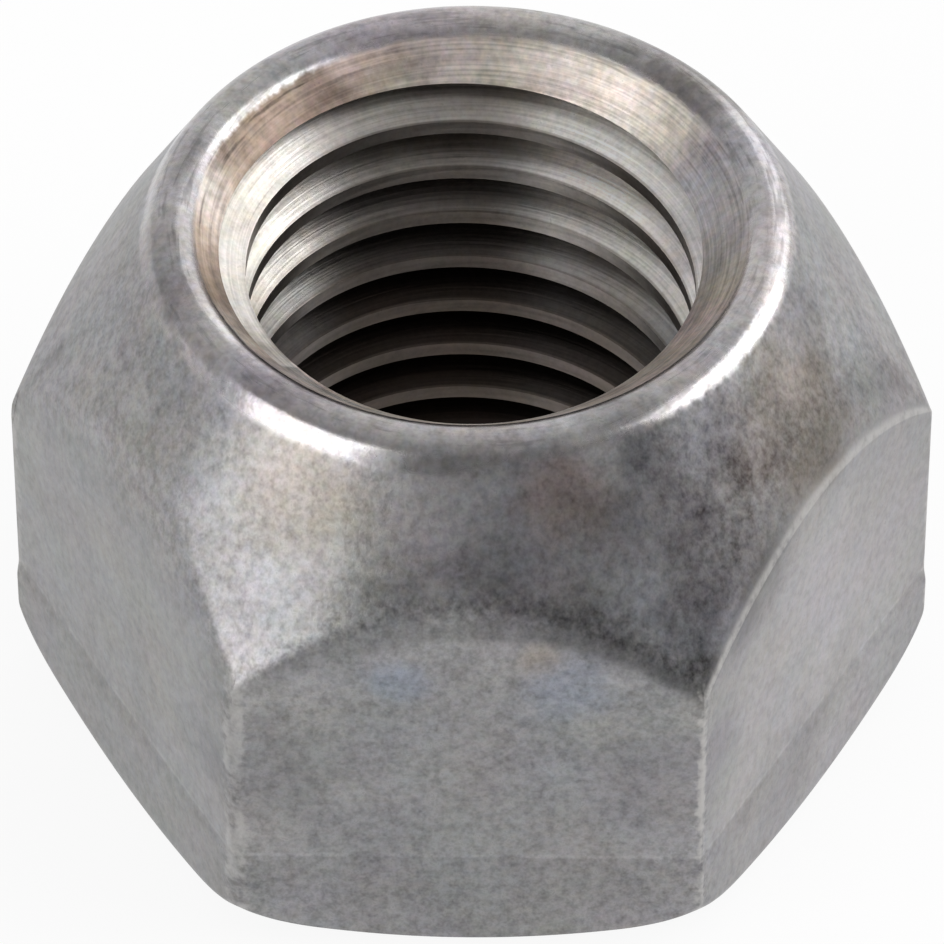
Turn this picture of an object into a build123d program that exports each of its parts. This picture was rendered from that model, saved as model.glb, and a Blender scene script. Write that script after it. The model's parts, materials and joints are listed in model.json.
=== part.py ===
"""Open-ended wheel nut with a conical seat and a metric fine thread, in millimetres.

The nut stands on its flat base with its axis on +Z, its nose up, and one flat towards -Y.
The origin is the centre of the base.
"""
from build123d import *
from math import atan, cos, degrees, radians, sin, sqrt, tan
import os

# Hexagon
across_flats = 19.0
corner_rounding = 0.2
band_height = 3.2
band_step = 0.09
band_ramp = 0.3
band_ramp_sink = 0.1

# Nose and conical seat
height = 14.8
seat_angle = 60.0
crest_circle_radius = 6.97
crest_radius = 0.68

# Relief facets that ease the arched edge between each flat and the seat
relief_angle = 38.0
relief_drop = 0.36

# Base: a flat face, a chamfer, and a rounding that takes the chamfer over the corners
base_face_radius = 8.94
base_chamfer_angle = 27.0
base_rounding_inset = 0.79
base_rounding = 1.8

# Bore, at the minor diameter of its M12 x 1.5 thread, countersunk at both ends
bore_diameter = 10.56
countersink_angle = 90.0
nose_mouth_radius = 6.36
base_mouth_radius = 6.36

# Room for cutting tools to run past the metal
overrun = 1.0

flat_count = 6
flat_distance = across_flats / 2
flat_half_width = flat_distance * tan(radians(180 / flat_count))
corner_distance = flat_distance / cos(radians(180 / flat_count))

seat_half_angle = seat_angle / 2
crest_height = height - crest_radius
bore_radius = bore_diameter / 2
countersink_slope = 1 / tan(radians(countersink_angle / 2))


def crest_point(angle):
    """A point on the rounded crest, by the angle of its outward normal above the horizontal."""
    return (
        crest_circle_radius + crest_radius * cos(radians(angle)),
        crest_height + crest_radius * sin(radians(angle)),
    )


seat_top_radius, seat_top_height = crest_point(seat_half_angle)


def seat_height(radius):
    """The height at which the conical seat has this radius."""
    return seat_top_height - (radius - seat_top_radius) / tan(radians(seat_half_angle))


def base_outline():
    """The points of the base's outer edge: chamfer start, chamfer end, mid rounding, rounding end."""
    chamfer_end = corner_distance - base_rounding_inset
    chamfer_rise = (chamfer_end - base_face_radius) * tan(radians(base_chamfer_angle))
    centre_radius = chamfer_end - base_rounding * sin(radians(base_chamfer_angle))
    centre_height = chamfer_rise + base_rounding * cos(radians(base_chamfer_angle))
    middle_angle = radians((90 - base_chamfer_angle) / 2)
    middle = (
        centre_radius + base_rounding * cos(middle_angle),
        centre_height - base_rounding * sin(middle_angle),
    )
    rounding_end = (centre_radius + base_rounding, centre_height)
    return (base_face_radius, 0), (chamfer_end, chamfer_rise), middle, rounding_end


def turned_section():
    """The nut's half section, as if it were turned from a wide round bar."""
    chamfer_start, chamfer_end, rounding_middle, rounding_end = base_outline()
    mouth_inset = nose_mouth_radius - crest_circle_radius
    mouth_height = crest_height + sqrt(crest_radius**2 - mouth_inset**2)
    thread_top = mouth_height - (nose_mouth_radius - bore_radius) * countersink_slope
    thread_bottom = (base_mouth_radius - bore_radius) * countersink_slope
    seat_end = (rounding_end[0], seat_height(rounding_end[0]))
    with BuildSketch(Plane.XZ) as section:
        with BuildLine():
            Polyline(
                (nose_mouth_radius, mouth_height),
                (bore_radius, thread_top),
                (bore_radius, thread_bottom),
                (base_mouth_radius, 0),
                chamfer_start,
                chamfer_end,
            )
            ThreePointArc(chamfer_end, rounding_middle, rounding_end)
            Polyline(rounding_end, seat_end, (seat_top_radius, seat_top_height))
            ThreePointArc(
                (seat_top_radius, seat_top_height),
                crest_point(90),
                (nose_mouth_radius, mouth_height),
            )
        make_face()
    return section.sketch


def hexagon(flat_to_axis):
    """A hexagon with rounded corners and one flat towards -Y."""
    with BuildSketch() as outline:
        RegularPolygon(flat_to_axis, flat_count, major_radius=False, rotation=0)
        fillet(outline.vertices(), corner_rounding)
    return outline.sketch


def hexagonal_bar():
    """The forged hexagon: a plain bar with a slightly proud band at its foot.

    A ramp takes the band back to the bar's flats and ends just under them.
    """
    bar = extrude(hexagon(flat_distance), amount=height + overrun)
    band_top = band_height - band_ramp
    band = extrude(hexagon(flat_distance + band_step), amount=band_top)
    ramp_angle = degrees(atan(band_step / band_ramp))
    ramp = extrude(
        Pos(0, 0, band_top) * hexagon(flat_distance + band_step),
        amount=band_ramp + band_ramp_sink,
        taper=ramp_angle,
    )
    return bar + band + ramp


def relief_cone():
    """The inside of the relief on the -Y flat.

    The cone's axis lies beyond the nut's own, so that its mark on the flat is a shallower arch.
    It passes relief_drop below the seat's arch at mid-flat, and through the seat's lowest point
    at the corners.
    """
    slope = tan(radians(relief_angle / 2))
    start_height = seat_height(flat_distance) - relief_drop
    corner_growth = (start_height - seat_height(corner_distance)) * slope
    start_radius = (flat_half_width**2 - corner_growth**2) / (2 * corner_growth)
    foot_radius = start_radius + (start_height + overrun) * slope
    top_radius = start_radius - (height + overrun - start_height) * slope
    cone = Cone(
        foot_radius,
        top_radius,
        height + 2 * overrun,
        align=(Align.CENTER, Align.CENTER, Align.MIN),
    )
    return Pos(0, start_radius - flat_distance, -overrun) * cone


def lug_nut():
    """The whole nut: hexagonal bar, turned to its section, with a relief at each flat."""
    body = revolve(turned_section(), Axis.Z) & hexagonal_bar()
    for flat in range(flat_count):
        body = body & Rot(0, 0, flat * 360 / flat_count) * relief_cone()
    return body


os.makedirs("parts", exist_ok=True)
nut = lug_nut()
export_step(nut, "parts/lug_nut.step")
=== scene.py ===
"""Looks of an open-ended wheel nut: forged grey steel, turned nose and tapped bore.

The nut is one piece. Its mesh is turned from a half section, pressed to a hexagon and cut by a
tap. Shapes are made in millimetres and brought to metres at the end.
"""

import json
import logging
from dataclasses import dataclass
from enum import Enum
from math import atan, atan2, cos, hypot, pi, radians, sin, sqrt, tan, tau
from typing import Any

import bmesh
import bpy
from bmesh.types import BMesh, BMVert
from bpy.types import Material, Node, NodeSocket, Object, World
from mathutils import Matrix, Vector

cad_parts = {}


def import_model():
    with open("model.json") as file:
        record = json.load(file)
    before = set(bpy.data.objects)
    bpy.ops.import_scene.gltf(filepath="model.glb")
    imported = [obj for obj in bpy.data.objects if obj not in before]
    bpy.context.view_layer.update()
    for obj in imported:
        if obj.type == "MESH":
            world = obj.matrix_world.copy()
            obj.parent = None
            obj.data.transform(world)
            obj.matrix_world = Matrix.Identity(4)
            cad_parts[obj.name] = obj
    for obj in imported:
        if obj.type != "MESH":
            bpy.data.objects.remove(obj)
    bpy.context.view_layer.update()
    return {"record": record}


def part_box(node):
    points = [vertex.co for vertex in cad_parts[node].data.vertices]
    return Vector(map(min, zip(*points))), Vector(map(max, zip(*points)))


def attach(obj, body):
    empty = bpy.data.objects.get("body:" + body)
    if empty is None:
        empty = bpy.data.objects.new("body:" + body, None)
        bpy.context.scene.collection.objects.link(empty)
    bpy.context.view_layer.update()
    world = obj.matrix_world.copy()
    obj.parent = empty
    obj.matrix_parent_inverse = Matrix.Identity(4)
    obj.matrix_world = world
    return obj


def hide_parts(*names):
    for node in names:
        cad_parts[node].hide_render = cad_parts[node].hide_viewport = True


log = logging.getLogger("lug_nut")

Triple = tuple[float, float, float]

MM = 0.001
WHITE: Triple = (1.0, 1.0, 1.0)

# Points nearer than this are one, in mm.
WELD = 0.0005

# The hexagon's flats, and the turn from the middle of a flat to its corner.
FLATS = 6
CORNER_TURN = pi / FLATS


def smooth_step(value: float, low: float, high: float) -> float:
    """Ease from 0 at low to 1 at high."""
    share = min(max((value - low) / (high - low), 0.0), 1.0)
    return share * share * (3 - 2 * share)


def soft_min(first: float, second: float, width: float) -> float:
    """The lesser of two radii, rounded where they come within width of each other."""
    near = max(width - abs(first - second), 0.0) / width
    return min(first, second) - near * near * width / 4


def lerp(value: float, old: tuple[float, float], new: tuple[float, float]) -> float:
    """Carry value from one range to another."""
    return new[0] + (value - old[0]) * (new[1] - new[0]) / (old[1] - old[0])


def turned_point(radius: float, azimuth: float, height: float) -> Vector:
    """A point by its distance from the axis, its azimuth and its height."""
    return Vector((radius * cos(azimuth), radius * sin(azimuth), height))


def mesh_object(name: str, shape: BMesh) -> Object:
    """Store a finished bmesh in a new object at the origin.

    Args:
        name: The object's name.
        shape: The bmesh, which is freed.

    Returns:
        The new object, linked to the scene.
    """
    mesh = bpy.data.meshes.new(name)
    shape.to_mesh(mesh)
    shape.free()
    piece = bpy.data.objects.new(name, mesh)
    bpy.context.collection.objects.link(piece)
    return piece


class Signal:
    """What a socket gives; arithmetic on a signal of numbers adds Math nodes to its graph."""

    def __init__(self, graph: "Graph", socket: NodeSocket) -> None:
        """Wrap a socket of one of the graph's nodes."""
        self.graph = graph
        self.socket = socket

    def __add__(self, other: "Term") -> "Signal":
        """Add a number."""
        return self.graph.math("ADD", self, other)

    def __radd__(self, other: "Term") -> "Signal":
        """Add to a number."""
        return self.graph.math("ADD", other, self)

    def __sub__(self, other: "Term") -> "Signal":
        """Subtract a number."""
        return self.graph.math("SUBTRACT", self, other)

    def __rsub__(self, other: "Term") -> "Signal":
        """Subtract from a number."""
        return self.graph.math("SUBTRACT", other, self)

    def __mul__(self, other: "Term") -> "Signal":
        """Multiply by a number."""
        return self.graph.math("MULTIPLY", self, other)

    def __rmul__(self, other: "Term") -> "Signal":
        """Multiply a number."""
        return self.graph.math("MULTIPLY", other, self)

    def __truediv__(self, other: "Term") -> "Signal":
        """Divide by a number."""
        return self.graph.math("DIVIDE", self, other)

    def __rtruediv__(self, other: "Term") -> "Signal":
        """Divide a number."""
        return self.graph.math("DIVIDE", other, self)

    def __abs__(self) -> "Signal":
        """Drop the sign."""
        return self.graph.math("ABSOLUTE", self)


Term = Signal | float


class Graph:
    """The node tree of a material or of the world."""

    def __init__(self, owner: Material | World) -> None:
        """Give a new material or world its nodes: a shader or background, and an output."""
        owner.use_nodes = True
        self.tree = owner.node_tree

    def node(self, kind: str, settings: dict[str, Any], sockets: dict[str | int, Any]) -> Node:
        """Add a node.

        Args:
            kind: The node's type.
            settings: The node's own properties, which are set first.
            sockets: Values, or signals to link, by the input's name or place.

        Returns:
            The new node.
        """
        node = self.tree.nodes.new(kind)
        for name, setting in settings.items():
            setattr(node, name, setting)
        for place, value in sockets.items():
            self.feed(node.inputs[place], value)
        return node

    def feed(self, socket: NodeSocket, value: Any) -> None:
        """Link a signal to an input, or set a plain value on it.

        Args:
            socket: The input.
            value: A signal, or what the input holds by itself.
        """
        if isinstance(value, Signal):
            self.tree.links.new(value.socket, socket)
        else:
            socket.default_value = value

    def output(self, node: Node, place: str | int = 0) -> Signal:
        """Read one of a node's outputs."""
        return Signal(self, node.outputs[place])

    def math(self, operation: str, *terms: Term) -> Signal:
        """Work out a number from one or more terms."""
        node = self.node("ShaderNodeMath", {"operation": operation}, dict(enumerate(terms)))
        return self.output(node)

    def vector(self, operation: str, *terms: Any) -> Signal:
        """Work out a vector or a colour from one or more terms."""
        node = self.node("ShaderNodeVectorMath", {"operation": operation}, dict(enumerate(terms)))
        return self.output(node)

    def distance(self, first: Signal, second: Signal | Triple) -> Signal:
        """Distance between two places."""
        sockets = {0: first, 1: second}
        return self.output(self.node("ShaderNodeVectorMath", {"operation": "DISTANCE"}, sockets), "Value")

    def scaled(self, colour: Signal | Triple, factor: Term) -> Signal:
        """Make a colour or a vector larger by a factor."""
        sockets = {0: colour, "Scale": factor}
        return self.output(self.node("ShaderNodeVectorMath", {"operation": "SCALE"}, sockets))

    def step(self, value: Signal, low: float, high: float) -> Signal:
        """Ease from 0 where a value is low to 1 where it is high."""
        sockets = {"Value": value, "From Min": low, "From Max": high}
        return self.output(self.node("ShaderNodeMapRange", {"interpolation_type": "SMOOTHSTEP"}, sockets))

    def mix(self, factor: Term, first: Signal | Triple, second: Signal | Triple) -> Signal:
        """Mix two colours.

        Args:
            factor: 0 for the first colour, 1 for the second.
            first: A colour.
            second: Another colour.

        Returns:
            The mixed colour.
        """
        colours = [(*colour, 1.0) if isinstance(colour, tuple) else colour for colour in (first, second)]
        sockets = {0: factor, 6: colours[0], 7: colours[1]}
        return self.output(self.node("ShaderNodeMix", {"data_type": "RGBA"}, sockets), 2)

    def blend(self, factor: Term, first: Term, second: Term) -> Signal:
        """Mix two numbers, from the first at 0 to the second at 1."""
        sockets = {0: factor, 2: first, 3: second}
        return self.output(self.node("ShaderNodeMix", {"data_type": "FLOAT"}, sockets))

    def parts(self, vector: Signal) -> tuple[Signal, ...]:
        """Take a vector or a colour apart into its three numbers."""
        node = self.node("ShaderNodeSeparateXYZ", {}, {0: vector})
        return tuple(self.output(node, place) for place in range(3))

    def noise(self, place: Signal, size: float, detail: float, rough: float) -> Signal:
        """Cloudy noise about 0, mostly within 0.25 of it.

        Args:
            place: The point that the noise is read at, in mm.
            size: How large its clouds are, in mm.
            detail: How many finer layers it has.
            rough: How strong each finer layer is against the one before.

        Returns:
            The noise's height.
        """
        sockets = {"Vector": place, "Scale": 1 / size, "Detail": detail, "Roughness": rough}
        node = self.node("ShaderNodeTexNoise", {"noise_dimensions": "3D"}, sockets)
        return self.output(node, "Fac") - 0.5

    def colour_noise(self, place: Signal, size: float) -> Signal:
        """Noise of many tints about black, for adding to a colour.

        Args:
            place: The point that the noise is read at, in mm.
            size: How large its clouds are, in mm.

        Returns:
            The tint, below black where its colour is lacking.
        """
        sockets = {"Vector": place, "Scale": 1 / size, "Detail": 1.0}
        node = self.node("ShaderNodeTexNoise", {"noise_dimensions": "3D"}, sockets)
        return self.vector("SUBTRACT", self.output(node, "Color"), (0.5, 0.5, 0.5))


class Flat(Enum):
    """The hexagon's flats, in the order of their azimuth from +X towards +Y."""

    BACK_RIGHT = 0
    BACK = 1
    BACK_LEFT = 2
    FRONT_LEFT = 3
    FRONT = 4
    FRONT_RIGHT = 5

    @property
    def before(self) -> "Flat":
        """The flat that comes before this one."""
        return Flat((self.value - 1) % FLATS)


@dataclass(frozen=True)
class FlatWear:
    """How one flat meets the seat above it and the next flat.

    Attributes:
        drop: How far below the plain arch the relief starts, at mid-flat, in mm.
        softness: Width over which the relief's crease is rounded, in mm of radius.
        corner: Rounding of the corner between this flat and the next, in mm.
        corner_foot: How much more that corner is rounded at the nut's foot, in mm.
    """

    drop: float
    softness: float
    corner: float
    corner_foot: float = 0.0


WEAR = {
    Flat.BACK_RIGHT: FlatWear(drop=0.36, softness=0.16, corner=0.18),
    Flat.BACK: FlatWear(drop=0.36, softness=0.16, corner=0.22),
    Flat.BACK_LEFT: FlatWear(drop=0.40, softness=0.20, corner=0.16),
    Flat.FRONT_LEFT: FlatWear(drop=0.45, softness=0.50, corner=0.42, corner_foot=0.25),
    Flat.FRONT: FlatWear(drop=0.20, softness=0.26, corner=0.13),
    Flat.FRONT_RIGHT: FlatWear(drop=0.42, softness=0.03, corner=0.16),
}


@dataclass(frozen=True)
class NutForm:
    """The nut's outer form, in millimetres, with one flat towards -Y and its nose up.

    Attributes:
        height: From the base's face to the top of the nose.
        across_flats: Width of the hexagon.
        band_height: Top of the band at the foot, which stands proud of the flats.
        band_step: How far the band stands proud.
        band_ramp: Height of the ramp from the band back to the flats.
        foot_wear: Heights between which a corner's further wear at the foot sets in.
        seat_angle: Angle between the conical seat and the axis.
        crest_circle_radius: Distance from the axis to the centre that the crest is rounded about.
        crest_radius: Rounding of the crest.
        countersink_angle: Angle between the countersink and the axis.
        relief_slope: How fast a flat's relief draws in with height.
        base_face_radius: Outer radius of the flat base.
        base_slope: How fast the base's chamfer rises outwards.
        base_rounding_inset: How far inside the corners the chamfer ends.
        base_rounding: Rounding that takes the chamfer over the corners.
        base_mouth_radius: Radius of the countersink's mouth in the base.
        seat_softness: Width over which the seat's arch on a flat is rounded.
        base_softness: Width over which the base's edge on a flat is rounded.
        hem: Margin beside the rounded crest that isn't pressed.
    """

    height: float
    across_flats: float = 19.0
    band_height: float = 3.2
    band_step: float = 0.05
    band_ramp: float = 0.6
    foot_wear: tuple[float, float] = (4.0, 1.5)
    seat_angle: float = radians(30.0)
    crest_circle_radius: float = 6.97
    crest_radius: float = 0.68
    countersink_angle: float = radians(45.0)
    relief_slope: float = tan(radians(19.0))
    base_face_radius: float = 8.94
    base_slope: float = tan(radians(27.0))
    base_rounding_inset: float = 0.79
    base_rounding: float = 1.8
    base_mouth_radius: float = 6.36
    seat_softness: float = 0.08
    base_softness: float = 0.12
    hem: float = 0.05

    @property
    def flat_distance(self) -> float:
        """Distance from the axis to a flat."""
        return self.across_flats / 2

    @property
    def corner_distance(self) -> float:
        """Distance from the axis to a sharp corner."""
        return self.flat_distance / cos(CORNER_TURN)

    @property
    def band_foot(self) -> float:
        """Height at which the band starts to ramp back to the flats."""
        return self.band_height - self.band_ramp

    @property
    def crest_height(self) -> float:
        """Height of the centre that the crest is rounded about."""
        return self.height - self.crest_radius

    @property
    def seat_top_radius(self) -> float:
        """Radius at which the seat runs into the rounded crest."""
        return self.crest_circle_radius + self.crest_radius * cos(self.seat_angle)

    @property
    def seat_top(self) -> float:
        """Height at which the seat runs into the rounded crest."""
        return self.crest_height + self.crest_radius * sin(self.seat_angle)

    @property
    def pressed_top(self) -> float:
        """Height at which the pressing ends, just under the rounded crest."""
        return self.seat_top - self.hem

    @property
    def mouth(self) -> tuple[float, float]:
        """Radius and height at which the rounded crest runs into the countersink."""
        radius = self.crest_circle_radius - self.crest_radius * sin(self.countersink_angle)
        return radius, self.crest_height + self.crest_radius * cos(self.countersink_angle)

    @property
    def apex(self) -> tuple[float, float]:
        """Where seat and countersink would meet with no rounding.

        Returns:
            The radius and the height of that edge.
        """
        mouth_radius, mouth_height = self.mouth
        flare, lean = tan(self.countersink_angle), tan(self.seat_angle)
        rise = self.seat_radius(mouth_height) - mouth_radius
        height = mouth_height + rise / (flare + lean)
        return self.seat_radius(height), height

    @property
    def apex_angle(self) -> float:
        """Angle in the metal between the seat and the countersink."""
        return self.seat_angle + self.countersink_angle

    def seat_height(self, radius: float) -> float:
        """Height of the conical seat at a radius."""
        return self.seat_top - (radius - self.seat_top_radius) / tan(self.seat_angle)

    def seat_radius(self, height: float) -> float:
        """Radius of the conical seat at a height."""
        return self.seat_top_radius + (self.seat_top - height) * tan(self.seat_angle)

    def nearest_flat(self, azimuth: float) -> tuple[Flat, float]:
        """Find the flat that an azimuth falls on.

        Args:
            azimuth: The azimuth, from +X towards +Y.

        Returns:
            The flat, and the angle from its middle to the azimuth.
        """
        turn = azimuth % tau
        order = min(int(turn / (tau / FLATS)), FLATS - 1)
        return Flat(order), turn - (order + 0.5) * tau / FLATS

    def hexagon_radius(self, azimuth: float, height: float) -> float:
        """Distance from the axis to the forged hexagon, with its band and its worn corners.

        Args:
            azimuth: The azimuth, from +X towards +Y.
            height: The height above the base.

        Returns:
            The distance.
        """
        flat, angle = self.nearest_flat(azimuth)
        band = 1 - smooth_step(height, self.band_foot, self.band_height)
        distance = self.flat_distance + self.band_step * band
        wear = WEAR[flat if angle > 0 else flat.before]
        rounding = wear.corner + wear.corner_foot * smooth_step(height, *self.foot_wear)
        from_corner = CORNER_TURN - abs(angle)
        centre = (distance - rounding) / cos(CORNER_TURN)
        limit = atan2(rounding * sin(CORNER_TURN), centre + rounding * cos(CORNER_TURN))
        if from_corner >= limit:
            return distance / cos(angle)
        aside = centre * sin(from_corner)
        return centre * cos(from_corner) + sqrt(max(rounding**2 - aside**2, 0.0))

    def relief_radius(self, azimuth: float, height: float) -> float:
        """Distance from the axis to the shallow relief over a flat's arch.

        The relief is a cone whose own axis lies beyond the nut's, so that its mark on the flat
        is a shallower arch than the seat's, and runs out at the corners.

        Args:
            azimuth: The azimuth, from +X towards +Y.
            height: The height above the base.

        Returns:
            The distance.
        """
        flat, angle = self.nearest_flat(azimuth)
        start = self.seat_height(self.flat_distance) - WEAR[flat].drop
        growth = (start - self.seat_height(self.corner_distance)) * self.relief_slope
        half_width = self.flat_distance * tan(CORNER_TURN)
        start_radius = (half_width**2 - growth**2) / (2 * growth)
        shift = start_radius - self.flat_distance
        radius = start_radius - (height - start) * self.relief_slope
        return sqrt(max(radius**2 - (shift * sin(angle)) ** 2, 0.0)) - shift * cos(angle)

    def base_radius(self, height: float) -> float:
        """Distance from the axis to the base's chamfer and the rounding above it.

        Args:
            height: The height above the base.

        Returns:
            The distance.
        """
        slope_angle = atan(self.base_slope)
        end = self.corner_distance - self.base_rounding_inset
        rise = (end - self.base_face_radius) * self.base_slope
        if height < rise:
            return self.base_face_radius + height / self.base_slope
        centre_radius = end - self.base_rounding * sin(slope_angle)
        centre_height = rise + self.base_rounding * cos(slope_angle)
        below = min(height - centre_height, 0.0)
        return centre_radius + sqrt(max(self.base_rounding**2 - below**2, 0.0))

    def base_height(self, radius: float) -> float:
        """Find, by thirty halvings, the height at which the base's edge reaches a radius.

        Args:
            radius: The distance from the axis.

        Returns:
            The height.
        """
        low, high = 0.0, self.band_height
        for _ in range(30):
            middle = (low + high) / 2
            if self.base_radius(middle) < radius:
                low = middle
            else:
                high = middle
        return (low + high) / 2


@dataclass(frozen=True)
class Thread:
    """The thread in the bore, and the tap that cuts it.

    Attributes:
        minor_radius: Distance from the axis to the thread's crests, in mm.
        pitch: Rise of one turn, in mm.
        depth: Depth of the groove, in mm.
        phase: Height at which a crest passes the +X side, in mm.
        root_excess: How much wider than standard each half of the groove's floor is, in mm.
        columns: Steps of the tap round the axis.
        overrun: How far the tap's ends reach past the nut, in mm.
    """

    minor_radius: float
    pitch: float = 1.5
    depth: float = 0.80
    phase: float = 0.28
    root_excess: float = 0.01
    columns: int = 120
    overrun: float = 6.0

    def wire(self, shape: BMesh, height: float) -> None:
        """Draw the thread's zigzag profile on the +X side, from under a bore to above it.

        Args:
            shape: The empty bmesh that gets the profile.
            height: Height of the bored piece, which stands on 0, in mm.
        """
        minor, major = self.minor_radius, self.minor_radius + self.depth
        crest_half, root_half = self.pitch / 8, self.pitch / 16 + self.root_excess
        start = self.phase - 2 * self.pitch
        turns = int(height / self.pitch) + 4
        points = []
        for turn in range(turns):
            crest = start + turn * self.pitch
            root = crest + self.pitch / 2
            points += [(minor, crest - crest_half), (minor, crest + crest_half)]
            points += [(major, root - root_half), (major, root + root_half)]
        points.append((minor, start + turns * self.pitch - crest_half))
        verts = [shape.verts.new((radius, 0, level)) for radius, level in points]
        for ends in zip(verts, verts[1:]):
            shape.edges.new(ends)

    def tap(self, height: float) -> BMesh:
        """Make the closed solid that the tap sweeps through a bore.

        Args:
            height: Height of the bored piece, which stands on 0, in mm.

        Returns:
            The swept solid, which passes the piece at both ends.
        """
        shape = bmesh.new()
        self.wire(shape, height)
        bmesh.ops.spin(
            shape,
            geom=shape.verts[:] + shape.edges[:],
            cent=(0, 0, 0),
            axis=(0, 0, 1),
            dvec=(0, 0, self.pitch / self.columns),
            angle=tau,
            steps=self.columns,
        )
        bmesh.ops.remove_doubles(shape, verts=shape.verts[:], dist=2 * WELD)
        rims = [edge for edge in shape.edges if edge.is_boundary]
        for above, tip in ((False, -self.overrun), (True, height + self.overrun)):
            rim = [edge for edge in rims if (edge.verts[0].co.z > height / 2) is above]
            skirt = bmesh.ops.extrude_edge_only(shape, edges=rim)["geom"]
            verts = [item for item in skirt if isinstance(item, BMVert)]
            bmesh.ops.pointmerge(shape, verts=verts, merge_co=(0, 0, tip))
        bmesh.ops.recalc_face_normals(shape, faces=shape.faces[:])
        return shape


@dataclass(frozen=True)
class LugNut:
    """The whole nut, made as one mesh and dressed as one piece.

    Attributes:
        form: The outer form that the turned blank is pressed to.
        thread: The thread in its bore.
        core_radius: Radius of the blank's hole, which the tap widens, in mm.
        margin: How far the unpressed blank reaches past the corners, in mm.
        columns: Steps of the blank round the axis.
        crowding: How strongly the columns crowd towards the corners, up to 1/6.
        row_slack: How near a row is to the base or the pressing's end to count as on it, in mm.
        crease_angle: Angle from which an edge of the mesh is shown sharp.
    """

    form: NutForm
    thread: Thread
    core_radius: float = 4.6
    margin: float = 1.0
    columns: int = 360
    crowding: float = 0.145
    row_slack: float = 0.01
    crease_angle: float = radians(38.0)

    def build(self) -> Object:
        """Make the nut, give it its steel and tie it to the frame.

        Returns:
            The finished object, in metres, at the origin.
        """
        nut = mesh_object("lug_nut_steel", self.pressed_blank())
        self.cut(nut, mesh_object("tap", self.thread.tap(self.form.height)))
        nut.data.materials.append(NutSteel(self.form, self.thread).material())
        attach(nut, "root")
        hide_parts("lug_nut")
        return nut

    def half_section(self) -> BMesh:
        """Draw the blank's half section as a closed wire in the XZ plane.

        Returns:
            The wire, cut into short rows, with its crest rounded.
        """
        form = self.form
        wall = form.corner_distance + self.margin
        base_edge = form.base_height(form.corner_distance)
        arch = form.seat_height(form.corner_distance)
        mouth_radius, mouth_height = form.mouth
        throat = mouth_height - mouth_radius + self.core_radius
        foot = form.base_mouth_radius - self.core_radius
        # Each run of the outline ends at a point and is cut into a number of rows, which lie
        # closest where the base's edge, the band and the arches are.
        runs = (
            ((form.base_mouth_radius, 0.0), 6),
            ((form.base_face_radius, 0.0), 7),
            ((wall, base_edge * 0.5), 9),
            ((wall, base_edge), 9),
            ((wall, base_edge + 0.35), 4),
            ((wall, form.band_foot), 6),
            ((wall, form.band_height), 6),
            ((wall, arch - 1.2), 18),
            ((wall, arch - 0.5), 7),
            ((wall, arch), 8),
            ((wall, arch + 2.0), 24),
            ((form.seat_radius(form.pressed_top), form.pressed_top), 24),
            (form.apex, 1),
            ((mouth_radius - form.hem, mouth_height - form.hem), 1),
            ((self.core_radius, throat), 9),
            ((self.core_radius, foot), 3),
        )
        shape = bmesh.new()
        points = [shape.verts.new((radius, 0.0, height)) for (radius, height), _ in runs]
        sides = [shape.edges.new((points[i - 1], points[i])) for i in range(len(points))]
        for side, (_, rows) in zip(sides, runs):
            if rows > 1:
                bmesh.ops.subdivide_edges(shape, edges=[side], cuts=rows - 1)
        bmesh.ops.bevel(
            shape,
            geom=[max(shape.verts, key=lambda point: point.co.z)],
            offset=form.crest_radius / tan(form.apex_angle / 2),
            offset_type="OFFSET",
            affect="VERTICES",
            segments=18,
            profile=0.5,
            material=-1,
        )
        return shape

    def pressed_blank(self) -> BMesh:
        """Spin the half section round the axis and press it to the nut's outer form.

        Returns:
            The closed blank, with its columns and rows on the form.
        """
        shape = self.half_section()
        bmesh.ops.spin(
            shape,
            geom=shape.verts[:] + shape.edges[:],
            cent=(0, 0, 0),
            axis=(0, 0, 1),
            angle=tau,
            steps=self.columns,
            use_merge=True,
        )
        for vert in shape.verts:
            vert.co = self.pressed(vert.co)
        bmesh.ops.recalc_face_normals(shape, faces=shape.faces[:])
        return shape

    def pressed(self, point: Vector) -> Vector:
        """Where a point of the turned blank goes when the blank is pressed.

        Args:
            point: A point of the blank.

        Returns:
            Its place on the nut.
        """
        form = self.form
        radius, row = hypot(point.x, point.y), point.z
        spun = atan2(point.y, point.x)
        azimuth = spun - self.crowding * sin(FLATS * spun)
        mouth_radius, _ = form.mouth
        if row > form.seat_top and radius > mouth_radius:
            out = Vector((radius - form.crest_circle_radius, row - form.crest_height))
            out.length = form.crest_radius
            radius, row = form.crest_circle_radius + out.x, form.crest_height + out.y
        if row < self.row_slack or row > form.pressed_top - self.row_slack or radius < mouth_radius:
            return turned_point(radius, azimuth, row)
        height = self.row_height(azimuth, row)
        flat, _ = form.nearest_flat(azimuth)
        wall = form.hexagon_radius(azimuth, height)
        wall = soft_min(wall, form.relief_radius(azimuth, height), WEAR[flat].softness)
        wall = soft_min(wall, form.seat_radius(height), form.seat_softness)
        wall = soft_min(wall, form.base_radius(height), form.base_softness)
        return turned_point(wall, azimuth, height)

    def row_height(self, azimuth: float, row: float) -> float:
        """Height that a row of the blank takes at an azimuth, so that rows follow the arches.

        Args:
            azimuth: The azimuth, from +X towards +Y.
            row: The row's height on the unpressed blank.

        Returns:
            The row's height there once it is pressed.
        """
        form = self.form
        corner = form.corner_distance
        foot = form.hexagon_radius(azimuth, 1.0)
        here = form.hexagon_radius(azimuth, form.height / 2)
        knots = (
            (0.0, 0.0),
            (form.base_height(corner), form.base_height(foot)),
            (form.band_foot,) * 2,
            (form.band_height,) * 2,
            (form.seat_height(corner), form.seat_height(here)),
            (form.pressed_top,) * 2,
        )
        for (old_low, new_low), (old_high, new_high) in zip(knots, knots[1:]):
            if row <= old_high:
                return lerp(row, (old_low, old_high), (new_low, new_high))
        return row

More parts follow.
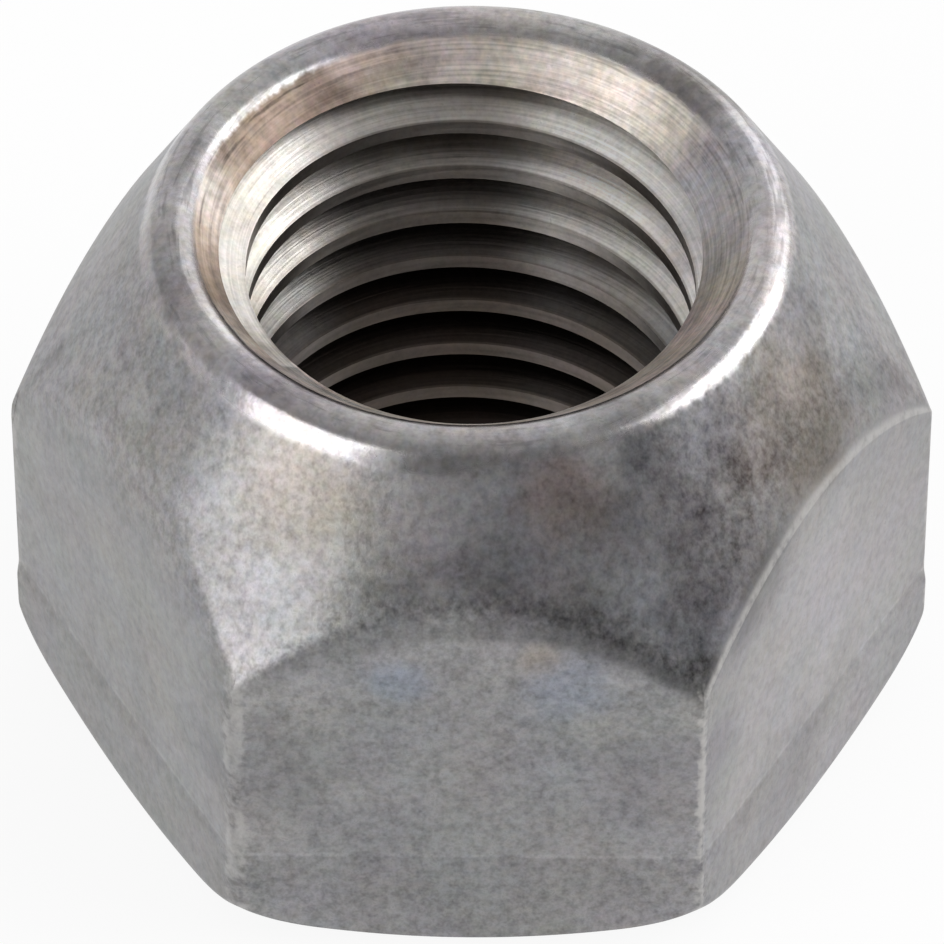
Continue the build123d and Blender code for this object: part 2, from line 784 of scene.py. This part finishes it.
    def cut(self, blank: Object, tap: Object) -> None:
        """Cut the thread into the blank, and bring the result to metres.

        Args:
            blank: The pressed blank, in millimetres, whose mesh is changed.
            tap: The tap's swept solid, which is used up.
        """
        modifier = blank.modifiers.new("thread", "BOOLEAN")
        modifier.operation = "DIFFERENCE"
        modifier.solver = "EXACT"
        modifier.object = tap
        evaluated = blank.evaluated_get(bpy.context.evaluated_depsgraph_get())
        shape = bmesh.new()
        shape.from_mesh(evaluated.to_mesh())
        blank.modifiers.clear()
        tap_mesh = tap.data
        bpy.data.objects.remove(tap)
        bpy.data.meshes.remove(tap_mesh)
        bmesh.ops.remove_doubles(shape, verts=shape.verts[:], dist=WELD)
        bmesh.ops.scale(shape, vec=(MM, MM, MM), verts=shape.verts[:])
        for face in shape.faces:
            face.smooth = True
        for edge in shape.edges:
            edge.smooth = edge.calc_face_angle(0.0) < self.crease_angle
        shape.to_mesh(blank.data)
        shape.free()


@dataclass(frozen=True)
class Skin:
    """How one kind of surface on the nut looks, apart from wear, staining and painted light and shade.

    Attributes:
        colour: Its mean colour.
        roughness: Its mean roughness.
        cloud: Strength of its clouds, a few millimetres across.
        mottle: Strength of its mottling.
        grain: Strength of its fine grain.
        rings: Strength of its turned rings.
        tint: Strength of its traces of colour.
        bumps: Height of its mottling and grain, in mm.
        grooves: Height of its turned rings, in mm.
    """

    colour: Triple
    roughness: float
    cloud: float
    mottle: float
    grain: float
    rings: float
    tint: float
    bumps: float
    grooves: float


FORGED = Skin(
    colour=(0.295, 0.292, 0.293), roughness=0.42, cloud=0.50, mottle=0.62, grain=0.22,
    rings=0.0, tint=0.11, bumps=0.0045, grooves=0.0,
)
COINED = Skin(
    colour=(0.290, 0.284, 0.288), roughness=0.38, cloud=0.60, mottle=0.74, grain=0.30,
    rings=0.0, tint=0.16, bumps=0.0045, grooves=0.0,
)
BURNISHED = Skin(
    colour=(0.415, 0.398, 0.402), roughness=0.23, cloud=0.50, mottle=0.95, grain=0.25,
    rings=0.20, tint=0.18, bumps=0.0026, grooves=0.0008,
)
TURNED = Skin(
    colour=(0.690, 0.620, 0.562), roughness=0.42, cloud=0.70, mottle=0.80, grain=0.22,
    rings=1.0, tint=0.22, bumps=0.0030, grooves=0.0035,
)
TAPPED = Skin(
    colour=(0.930, 0.895, 0.855), roughness=0.32, cloud=0.60, mottle=0.50, grain=0.30,
    rings=0.90, tint=0.16, bumps=0.0020, grooves=0.0040,
)

# Bare steel where an edge is rubbed bright; it also serves as a painted highlight on the corners and the
# right arch.
RUBBED_AND_HIGHLIGHT: Triple = (0.50, 0.485, 0.47)


@dataclass(frozen=True)
class ThreadTones:
    """Colours that the tapped bore passes into, most of them painted shade with some dark oxide.

    Attributes:
        back: Of the flanks at the back of the bore, painted shade with some dark oxide.
        deep: Of the flanks deep in the bore, painted shade with some dark oxide.
        root: Of the groove's floor, painted shade.
        side_crest: Of the crests at the sides, near the nose and deep in the bore, darker deep in painted
            shade.
        back_crest: Of the crests at the back, near the nose and deep in the bore, darker than at the
            sides in painted shade.
        foot: Of the countersink at the base.
    """

    back: Triple = (0.108, 0.085, 0.075)
    deep: Triple = (0.017, 0.011, 0.008)
    root: Triple = (0.050, 0.042, 0.037)
    side_crest: tuple[Triple, Triple] = ((0.460, 0.425, 0.395), (0.112, 0.094, 0.083))
    back_crest: tuple[Triple, Triple] = ((0.148, 0.131, 0.119), (0.063, 0.051, 0.043))
    foot: Triple = (0.360, 0.350, 0.340)


@dataclass(frozen=True)
class StainAndLightPatch:
    """A soft patch that shifts the steel's colour, as real staining in some places and as painted light
    and painted shade in others.

    Attributes:
        centre: Its centre, in mm.
        radius: Its reach, in mm.
        colour: What the steel's colour is multiplied by in its middle.
        core: Share of its reach within which it has its full strength.
        raggedness: How strongly clouds push its edge about, as a share of its reach.
    """

    centre: Triple
    radius: float
    colour: Triple
    core: float = 0.3
    raggedness: float = 0.7


# Patches on the forged outside: partly real staining and oxide, partly painted light and painted shade
# that follow how each face reflects its surroundings.
OUTSIDE_STAINS_AND_LIGHT = (
    # Over the front flat: painted shade, for the shaded floor that it reflects.
    StainAndLightPatch((0.0, -9.6, 4.5), 8.0, (0.88, 0.88, 0.89)),
    StainAndLightPatch((-4.8, -9.6, 6.2), 2.6, (0.84, 0.84, 0.84)),
    StainAndLightPatch((4.8, -9.6, 6.0), 2.8, (0.83, 0.83, 0.84)),
    StainAndLightPatch((-1.6, -9.6, 9.2), 1.0, (0.92, 1.00, 1.10)),
    StainAndLightPatch((2.4, -9.6, 9.1), 1.5, (0.92, 0.98, 1.08)),
    StainAndLightPatch((1.7, -9.6, 10.0), 0.8, (1.06, 0.99, 0.90)),
    # Over the flat to its right: painted light, for the brighter floor that it reflects, and a darker
    # patch low down.
    StainAndLightPatch((8.6, -4.9, 4.5), 8.0, (1.32, 1.28, 1.30)),
    StainAndLightPatch((8.2, -4.8, 9.4), 2.4, (1.10, 1.09, 1.09)),
    StainAndLightPatch((7.6, -6.2, 2.4), 2.6, (0.84, 0.84, 0.84)),
    # On the seat, from the left round to the right: painted shade where the seat reflects the dark front,
    # lighter patches of painted light, and some oxide and tints.
    StainAndLightPatch((-6.6, -6.9, 11.0), 1.8, (1.05, 1.05, 1.06)),
    StainAndLightPatch((-4.2, -8.3, 11.3), 3.2, (0.86, 0.86, 0.85)),
    StainAndLightPatch((-3.8, -7.2, 13.2), 2.4, (0.90, 0.86, 0.79)),
    StainAndLightPatch((-0.6, -8.0, 13.6), 1.9, (1.22, 1.18, 1.19)),
    StainAndLightPatch((2.2, -8.6, 12.2), 3.4, (0.86, 0.85, 0.87)),
    StainAndLightPatch((2.1, -7.8, 13.5), 1.6, (1.10, 0.98, 0.92)),
    StainAndLightPatch((4.1, -8.5, 11.2), 1.4, (1.30, 1.35, 1.37)),
    StainAndLightPatch((5.8, -7.5, 11.2), 3.2, (0.50, 0.49, 0.50)),
    StainAndLightPatch((4.0, -7.5, 12.5), 2.6, (0.74, 0.73, 0.74)),
    StainAndLightPatch((6.4, -5.2, 13.3), 2.0, (0.66, 0.66, 0.67)),
    StainAndLightPatch((4.9, -6.1, 13.9), 2.6, (0.46, 0.46, 0.47)),
    StainAndLightPatch((7.6, -4.4, 12.6), 3.2, (0.70, 0.64, 0.57)),
    StainAndLightPatch((7.6, -2.3, 13.8), 1.8, (0.74, 0.73, 0.74)),
)
# Patches on the rounded crest: darker scuffed patches, a painted highlight at the right, a lighter patch
# at the back, and painted shade that trims the highlights at the front.
CREST_STAINS_AND_LIGHT = (
    StainAndLightPatch((4.9, 4.9, 14.7), 2.4, (0.60, 0.57, 0.58)),
    StainAndLightPatch((7.2, -1.2, 14.6), 2.2, (1.22, 1.19, 1.19)),
    StainAndLightPatch((3.4, -6.5, 14.5), 1.6, (0.78, 0.77, 0.78)),
    StainAndLightPatch((-3.9, -4.7, 15.6), 2.3, (0.62, 0.60, 0.64)),
    StainAndLightPatch((-6.6, -1.5, 14.6), 2.4, (0.72, 0.71, 0.72)),
    StainAndLightPatch((-6.1, 1.6, 14.5), 1.5, (0.72, 0.70, 0.69)),
    StainAndLightPatch((-1.9, 6.4, 14.7), 2.0, (0.84, 0.83, 0.84)),
    StainAndLightPatch((0.0, 6.9, 14.7), 4.0, (1.20, 1.19, 1.18)),
)
# Patches on the countersink: brown and bluish staining, and painted shade at the back left under the
# crest.
SINK_STAINS_AND_SHADE = (
    StainAndLightPatch((-4.9, 3.9, 14.2), 3.8, (0.27, 0.23, 0.21)),
    StainAndLightPatch((-2.6, 5.3, 14.1), 2.2, (0.64, 0.60, 0.58)),
    StainAndLightPatch((-6.2, -1.2, 14.0), 2.8, (0.56, 0.49, 0.45)),
    StainAndLightPatch((5.9, 1.0, 13.9), 3.6, (0.72, 0.75, 0.83)),
)
# Darker patches on the flanks at the left and the right of the bore.
BORE_DARK_PATCHES = (
    StainAndLightPatch((-5.6, 0.3, 12.6), 6.0, (0.54, 0.53, 0.51)),
    StainAndLightPatch((5.3, 2.0, 12.3), 2.6, (0.64, 0.63, 0.64)),
)


class NutSteel:
    """The steel of the nut, from its forged outside to the tapped bore."""

    def __init__(self, form: NutForm, thread: Thread) -> None:
        """Start the material, find where a point lies on the nut and lay out the patterns.

        Args:
            form: The nut's outer form.
            thread: The thread in its bore.
        """
        self.form = form
        self.thread = thread
        self.steel = bpy.data.materials.new("forged_steel")
        self.graph = graph = Graph(self.steel)
        coordinates = graph.node("ShaderNodeTexCoord", {}, {})
        self.place = graph.scaled(graph.output(coordinates, "Object"), 1 / MM)
        self.x, self.y, self.height = graph.parts(self.place)
        self.radius = graph.math("SQRT", self.x * self.x + self.y * self.y)
        upright = graph.vector("MULTIPLY", self.place, (1.0, 1.0, 0.85))
        self.cloud = graph.noise(self.place, 1.6, 2.0, 0.6)
        self.mottle = graph.noise(upright, 0.24, 2.0, 0.58)
        self.grain = graph.noise(upright, 0.09, 1.0, 0.6)
        self.rings = graph.noise(self.round_the_axis(3.5, 0.075), 1.0, 1.0, 0.6)
        self.streaks = graph.noise(self.round_the_axis(1.6, 0.16), 1.0, 2.0, 0.6)
        self.inward = form.flat_distance - self.hexagon_reach()
        self.seat = graph.step(self.inward, 0.05, 0.25)
        self.below_arch = 1 - self.seat
        self.crest = self.crest_share()
        self.countersink = self.countersink_share()
        self.bore = self.bore_share()
        bare = self.crest * 0.8 + self.countersink * 0.25
        self.scuffs = graph.step(self.streaks, 0.03, 0.18) * bare

    def round_the_axis(self, along: float, across: float) -> Signal:
        """A place for noise whose clouds run round the axis.

        Args:
            along: Their length round the axis, in mm.
            across: Their width, in mm, by radius and height.

        Returns:
            The stretched place.
        """
        level = (self.radius + self.height * 0.4) / across
        sockets = {0: self.x / along, 1: self.y / along, 2: level}
        return self.graph.output(self.graph.node("ShaderNodeCombineXYZ", {}, sockets))

    def material(self) -> Material:
        """Wire the whole material.

        Returns:
            The finished material.
        """
        graph = self.graph
        # Corners and the right arch mixed towards bare steel, partly wear and partly painted highlight.
        wear_and_highlight = self.wear_and_edge_highlights()
        colour = graph.vector("MULTIPLY", self.skin_colour(), self.dye())
        colour = graph.scaled(colour, self.light())
        colour = graph.vector("ADD", colour, graph.scaled(WHITE, self.speckle()))
        colour = graph.mix(wear_and_highlight, colour, RUBBED_AND_HIGHLIGHT)
        roughness = self.blended("roughness") + self.cloud * 0.12 + self.scuffs * 0.14 - wear_and_highlight * 0.10
        relief = (self.mottle + self.grain * 0.4) * self.blended("bumps")
        relief = relief + self.rings * self.blended("grooves")
        bump = graph.node("ShaderNodeBump", {}, {"Height": relief, "Distance": MM, "Strength": 1.0})
        shader = graph.tree.nodes["Principled BSDF"]
        graph.feed(shader.inputs["Base Color"], colour)
        graph.feed(shader.inputs["Roughness"], roughness)
        graph.feed(shader.inputs["Normal"], graph.output(bump))
        graph.feed(shader.inputs["Metallic"], 1.0)
        return self.steel

    def blended(self, name: str) -> Signal:
        """Blend one of the skins' numbers over the nut.

        Args:
            name: The number's name in a skin.

        Returns:
            The number at each point, from the skin that lies on top there.
        """
        number = getattr(FORGED, name)
        shares = (self.seat, self.crest, self.countersink, self.bore)
        for share, skin in zip(shares, (COINED, BURNISHED, TURNED, TAPPED)):
            number = self.graph.blend(share, number, getattr(skin, name))
        return number

    def skin_colour(self) -> Signal:
        """Lay the skins over one another, each with its patches of staining and of painted light and
        shade.

        Returns:
            The steel's colour before its finer patterns.
        """
        graph = self.graph
        colour = graph.mix(self.below_arch, COINED.colour, FORGED.colour)
        colour = self.with_stains_and_light(colour, OUTSIDE_STAINS_AND_LIGHT)
        colour = graph.mix(self.crest, colour, self.with_stains_and_light(BURNISHED.colour, CREST_STAINS_AND_LIGHT))
        colour = graph.mix(self.countersink, colour, self.with_stains_and_light(TURNED.colour, SINK_STAINS_AND_SHADE))
        return graph.mix(self.bore, colour, self.thread_colour(ThreadTones()))

    def with_stains_and_light(self, colour: Signal | Triple, tone_patches: tuple[StainAndLightPatch, ...]) -> Signal:
        """Lay patches of staining and of painted light and shade over a colour.

        Args:
            colour: The colour before the patches.
            tone_patches: The patches to lay over it.

        Returns:
            The colour with its patches of staining and of painted light and shade.
        """
        graph = self.graph
        for tone_patch in tone_patches:
            ragged = self.cloud * (tone_patch.radius * tone_patch.raggedness)
            away = graph.distance(self.place, tone_patch.centre) + ragged
            unpatched = graph.step(away, tone_patch.radius * tone_patch.core, tone_patch.radius)
            colour = graph.vector("MULTIPLY", colour, graph.mix(unpatched, tone_patch.colour, WHITE))
        return colour

    def dye(self) -> Signal:
        """Faint tints of many colours.

        Returns:
            A colour near white, for multiplying the steel's colour by.
        """
        graph = self.graph
        patches, flecks = graph.colour_noise(self.place, 1.8), graph.colour_noise(self.place, 0.22)
        tints = graph.vector("MULTIPLY", graph.vector("ADD", patches, flecks), (0.9, 0.3, 1.2))
        return graph.vector("ADD", WHITE, graph.scaled(tints, self.blended("tint")))

    def light(self) -> Signal:
        """How light the steel is at a point, by its patterns, scuffs and specks, with scale and painted
        shade over the arches and a painted highlight along the band.

        Returns:
            A factor about 1 for the steel's colour.
        """
        graph = self.graph
        front = 1 - graph.step(self.y, -9.4, -8.9)
        mottle = self.blended("mottle") + front * 0.26
        grain = self.blended("grain") + front * 0.36
        light = self.cloud * self.blended("cloud") + self.mottle * mottle
        light = light + self.grain * grain + self.rings * self.blended("rings") + 1.0
        specks = graph.step(self.grain + self.mottle * 0.8, 0.22, 0.34)
        # The dark band over the arches is partly scale and partly painted shade along the crease.
        light = light * (1 - self.scuffs * 0.35) * (1 - specks * 0.2) * (1 - self.scale_and_shade_share() * 0.5)
        # Painted highlight along the top of the band, with a darker tone on the band below it.
        return light + self.band_painted_highlight_and_tone() * self.below_arch

    def speckle(self) -> Signal:
        """Pale and dark speckle of the seat, for adding to its colour."""
        pattern = (self.mottle + self.grain * 0.8) * 0.07
        return pattern * self.seat * (1 - self.crest) * (1 - self.bore) * (1 - self.countersink)

    def crest_share(self) -> Signal:
        """How far a point belongs to the rounded crest, which reaches lower on the left.

        Returns:
            From 0 off the crest to 1 on it.
        """
        form, graph = self.form, self.graph
        across = self.radius - form.crest_circle_radius
        rise = self.height - form.crest_height
        distance = graph.math("SQRT", across * across + rise * rise)
        ragged = distance + self.mottle * 0.3
        near = 1 - graph.step(ragged, form.crest_radius + 0.01, form.crest_radius + 0.26)
        left = 1 - graph.step(self.x, -1.0, 1.0)
        return near * graph.step(rise + self.mottle * 0.2 + left * 0.3, 0.24, 0.44)

    def countersink_share(self) -> Signal:
        """How far a point belongs to the countersink under the crest.

        Returns:
            From 0 off the countersink to 1 on it.
        """
        form, graph = self.form, self.graph
        mouth_radius, mouth_height = form.mouth
        off = abs(self.radius - self.height + (mouth_height - mouth_radius))
        ragged = self.radius + self.mottle * 0.14 + self.cloud * 0.16
        inside = 1 - graph.step(ragged, mouth_radius - 0.09, mouth_radius + 0.03)
        return inside * (1 - graph.step(off, 0.02, 0.05))

    def bore_share(self) -> Signal:
        """How far a point belongs to the thread or the countersink at the base.

        Returns:
            From 0 outside the bore to 1 in it.
        """
        form, graph = self.form, self.graph
        mouth_radius, mouth_height = form.mouth
        below = mouth_height - mouth_radius + self.radius - self.height
        inside = 1 - graph.step(self.radius, form.base_mouth_radius - 0.05, form.base_mouth_radius)
        return inside * graph.step(below, 0.02, 0.05)

    def hexagon_reach(self) -> Signal:
        """Distance from the axis to the hexagon through a point, across the flats.

        Returns:
            The distance, in mm.
        """
        graph = self.graph
        lean, rise = self.x * cos(CORNER_TURN), self.y * sin(CORNER_TURN)
        sides = graph.math("MAXIMUM", abs(lean + rise), abs(lean - rise))
        return graph.math("MAXIMUM", sides, abs(self.y))

    def right_side(self) -> Signal:
        """How far a point lies round to the flat on the front's right.

        Returns:
            From 0 off that side to 1 on it.
        """
        along = self.x * sin(CORNER_TURN) + self.y * cos(CORNER_TURN)
        return self.graph.step(along, -5.6, -5.2) * (1 - self.graph.step(self.y, -0.3, 0.0))

    def scale_and_shade_share(self) -> Signal:
        """How far a point lies in the dark band above the arches that face the front and right, partly
        scale and partly painted shade along the crease.

        Returns:
            From 0 off the band to 1 in its darkest part.
        """
        graph = self.graph
        ragged = self.inward + self.mottle * 0.6
        right = graph.step(self.x, 0.6, 2.2)
        middle = graph.step(self.x, -3.5, -1.5) * (1 - right)
        line = graph.step(self.inward, 0.006, 0.04) * (1 - graph.step(ragged, 0.10, 0.45))
        upper = graph.step(ragged, 0.15, 0.50) * (1 - graph.step(ragged, 0.55, 0.90)) * middle
        broad = graph.step(self.inward, 0.006, 0.07) * (1 - graph.step(ragged, 0.15, 0.75))
        front = graph.blend(right, line * (middle * 0.35 + 0.22) + upper * 0.20, broad)
        edge = self.inward + self.mottle * 0.3
        side = graph.step(edge, 0.03, 0.15) * 0.40 + graph.step(edge, 0.28, 0.50) * 0.35
        side = side * (1 - graph.step(edge, 0.50, 1.50))
        return front * (1 - graph.step(self.y, -9.0, -8.2)) + side * self.right_side()

    def band_painted_highlight_and_tone(self) -> Signal:
        """Painted highlight along the top of the base's band, and a darker tone on the band below it.

        Returns:
            What is added to the steel's light.
        """
        graph, top = self.graph, self.form.band_height
        band = 1 - graph.step(self.height, top - 0.1, top + 0.05)
        line = graph.step(self.height, top - 0.1, top - 0.02)
        line = line * (1 - graph.step(self.height, top, top + 0.1))
        uneven = graph.step(self.cloud + self.mottle * 0.5, -0.15, 0.1)
        return line * uneven * 0.14 - band * 0.10

    def wear_and_edge_highlights(self) -> Signal:
        """How far a point is made bright, partly rubbed steel and partly painted highlight: the hexagon's
        corners and one arch, unevenly.

        Returns:
            From 0 where the skin is whole to 1 where it is rubbed off or painted bright.
        """
        graph = self.graph
        ratio = self.radius / (self.form.flat_distance - self.inward)
        left = 1 - graph.step(self.x, -5.0, -4.0)
        corner = graph.step(ratio + self.mottle * 0.015, 1.146, 1.153) * (1 - left) * 0.70
        broad = graph.step(ratio + self.mottle * 0.02, 1.134, 1.146) * left * 0.34
        uneven = graph.step(self.cloud + self.mottle * 0.6, -0.2, 0.15)
        arch = graph.step(self.inward, 0.002, 0.01) * (1 - graph.step(self.inward, 0.03, 0.11))
        line = arch * self.right_side() * graph.step(self.mottle, -0.5, 0.2)
        return (corner + broad) * self.below_arch * uneven + line * 0.62

    def thread_colour(self, tones: ThreadTones) -> Signal:
        """Colour of the thread: cream at the sides near the nose, darker inwards and at the back in
        painted shade with some dark oxide, and darker in its roots in painted shade.

        Args:
            tones: The darker colours that the cream flanks pass into.

        Returns:
            The colour of the thread and of the countersink at the base.
        """
        graph = self.graph
        # Painted shade, with some dark oxide, on the flanks at the back of the bore.
        lean = (self.y * 0.97 - self.x * 0.24) / self.radius
        back = graph.step(lean + self.cloud * 0.04, 0.80, 0.98)
        colour = graph.mix(back * 0.72, self.with_stains_and_light(TAPPED.colour, BORE_DARK_PATCHES), tones.back)
        # Painted shade, with some dark oxide, deeper in the bore.
        below = self.form.height - self.height + self.cloud * 0.6
        depth = graph.blend(back, graph.step(below, 3.4, 8.6), graph.step(below, 1.0, 7.5))
        colour = graph.mix(depth * 0.96, colour, tones.deep)
        # Painted shade in the groove's floor.
        groove = self.radius - self.thread.minor_radius
        colour = graph.mix(graph.step(groove, 0.5, 0.8) * 0.3, colour, tones.root)
        # Crests darker deep in the bore and at the back, as painted shade.
        side_crest, back_crest = graph.mix(depth, *tones.side_crest), graph.mix(depth, *tones.back_crest)
        crest = 1 - graph.step(groove, 0.02, 0.07)
        colour = graph.mix(crest * 0.9, colour, graph.mix(back, side_crest, back_crest))
        return graph.mix(graph.step(self.height, 0.9, 1.4), tones.foot, colour)


@dataclass(frozen=True)
class SoftBox:
    """A rectangular lamp that faces the nut.

    Attributes:
        name: What the lamp is called.
        azimuth: Where it hangs, in degrees round from the front towards +X.
        elevation: How high it hangs, in degrees.
        width: Its width, in metres.
        height: Its height, in metres.
        radiance: How bright its face is, where 1 is white.
    """

    name: str
    azimuth: float
    elevation: float
    width: float
    height: float
    radiance: float


@dataclass(frozen=True)
class Studio:
    """Floor, lights and camera.

    Attributes:
        boxes: The soft boxes.
        box_distance: How far each hangs from the nut, in metres.
        dim_level: Light of the surround on its dim side.
        pale_level: Light of the surround on its pale side.
        pale_side: Direction of the pale side.
        floor_reach: How far the floor reaches from the nut, in metres.
        floor_white: How much of the seen floor is plain white rather than lit.
        target: What the camera aims at, in metres.
        azimuth: Where the camera stands, round from the front towards +X.
        elevation: How high the camera stands.
        distance: How far it stands from its target, in metres.
        focal_length: Its focal length, in mm.
        sensor_width: Width of its sensor, in mm.
        clip_start: How near the nearest thing is that it sees, in metres.
    """

    boxes: tuple[SoftBox, ...] = (
        SoftBox("left_softbox", -52, 19, 0.42, 0.38, 3.0),
        SoftBox("right_softbox", 92, 24, 0.64, 0.50, 2.8),
        SoftBox("back_right_softbox", 145, 26, 0.46, 0.40, 1.0),
    )
    box_distance: float = 0.6
    dim_level: float = 0.22
    pale_level: float = 0.95
    pale_side: Triple = (0.15, 0.99, 0.0)
    floor_reach: float = 3.0
    floor_white: float = 0.9
    target: Triple = (0.018 * MM, 0.0, 6.31 * MM)
    azimuth: float = radians(0.609)
    elevation: float = radians(46.135)
    distance: float = 217.2 * MM
    focal_length: float = 346.1
    sensor_width: float = 36.0
    clip_start: float = 0.01

    def build(self) -> None:
        """Set up the whole studio."""
        self.camera()
        self.floor()
        self.lights()
        self.surround()
        bpy.context.scene.view_settings.view_transform = "Standard"

    def direction(self, azimuth: float, elevation: float) -> Vector:
        """Unit vector towards a place seen from the nut, azimuth 0 being the front."""
        return Vector((sin(azimuth) * cos(elevation), -cos(azimuth) * cos(elevation), sin(elevation)))

    def camera(self) -> None:
        """Aim a long lens at the nut from the front and above."""
        data = bpy.data.cameras.new("camera")
        data.lens = self.focal_length
        data.sensor_width = self.sensor_width
        data.clip_start = self.clip_start
        camera = bpy.data.objects.new("camera", data)
        bpy.context.collection.objects.link(camera)
        back = self.direction(self.azimuth, self.elevation)
        camera.location = Vector(self.target) + back * self.distance
        camera.rotation_mode = "QUATERNION"
        camera.rotation_quaternion = (-back).to_track_quat("-Z", "Y")
        bpy.context.scene.camera = camera

    def floor(self) -> None:
        """Lay a wide white floor, which keeps a faint shadow of the nut."""
        shape = bmesh.new()
        bmesh.ops.create_grid(shape, x_segments=1, y_segments=1, size=self.floor_reach)
        floor = mesh_object("floor", shape)
        paint = bpy.data.materials.new("floor")
        graph = Graph(paint)
        matt = graph.tree.nodes["Principled BSDF"]
        graph.feed(matt.inputs["Base Color"], (0.9, 0.9, 0.9, 1.0))
        graph.feed(matt.inputs["Roughness"], 0.9)
        rays = graph.node("ShaderNodeLightPath", {}, {})
        kinds = ("Is Camera Ray", "Is Glossy Ray", "Is Transmission Ray")
        direct, mirrored, through = (graph.output(rays, kind) for kind in kinds)
        share = (direct + mirrored + through) * self.floor_white
        white = graph.node("ShaderNodeEmission", {}, {"Strength": 1.0})
        sockets = {0: share, 1: graph.output(matt), 2: graph.output(white)}
        mixed = graph.node("ShaderNodeMixShader", {}, sockets)
        graph.feed(graph.tree.nodes["Material Output"].inputs["Surface"], graph.output(mixed))
        floor.data.materials.append(paint)

    def lights(self) -> None:
        """Hang the soft boxes, which the camera doesn't see."""
        for box in self.boxes:
            data = bpy.data.lights.new(box.name, "AREA")
            data.shape = "RECTANGLE"
            data.size, data.size_y = box.width, box.height
            data.energy = pi * box.width * box.height * box.radiance
            lamp = bpy.data.objects.new(box.name, data)
            bpy.context.collection.objects.link(lamp)
            way = self.direction(radians(box.azimuth), radians(box.elevation))
            lamp.location = way * self.box_distance
            lamp.rotation_mode = "QUATERNION"
            lamp.rotation_quaternion = way.to_track_quat("Z", "Y")
            lamp.visible_camera = False

    def surround(self) -> None:
        """Shade the world from dim at the front to pale at the back."""
        world = bpy.data.worlds.new("surround")
        graph = Graph(world)
        way = graph.output(graph.node("ShaderNodeTexCoord", {}, {}), "Generated")
        sockets = {0: way, 1: self.pale_side}
        lean = graph.node("ShaderNodeVectorMath", {"operation": "DOT_PRODUCT"}, sockets)
        levels = {"From Min": -1.0, "To Min": self.dim_level, "To Max": self.pale_level}
        sockets = {"Value": graph.output(lean, "Value"), **levels}
        level = graph.output(graph.node("ShaderNodeMapRange", {}, sockets))
        background = graph.tree.nodes["Background"]
        graph.feed(background.inputs["Color"], (*WHITE, 1.0))
        graph.feed(background.inputs["Strength"], level)
        bpy.context.scene.world = world


def main() -> None:
    """Build the nut and its studio, piece by piece."""
    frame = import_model()
    _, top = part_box("lug_nut")
    bore = next(mount for mount in frame["record"]["mounts"] if mount["name"] == "stud_thread")
    form = NutForm(height=top[2] / MM)
    thread = Thread(minor_radius=bore["dims"]["r_mm"])
    nut = LugNut(form, thread).build()
    log.info("%s: %d faces", nut.name, len(nut.data.polygons))
    Studio().build()


if __name__ == "__main__":
    logging.basicConfig(level=logging.INFO, format="%(name)s: %(message)s")
    main()
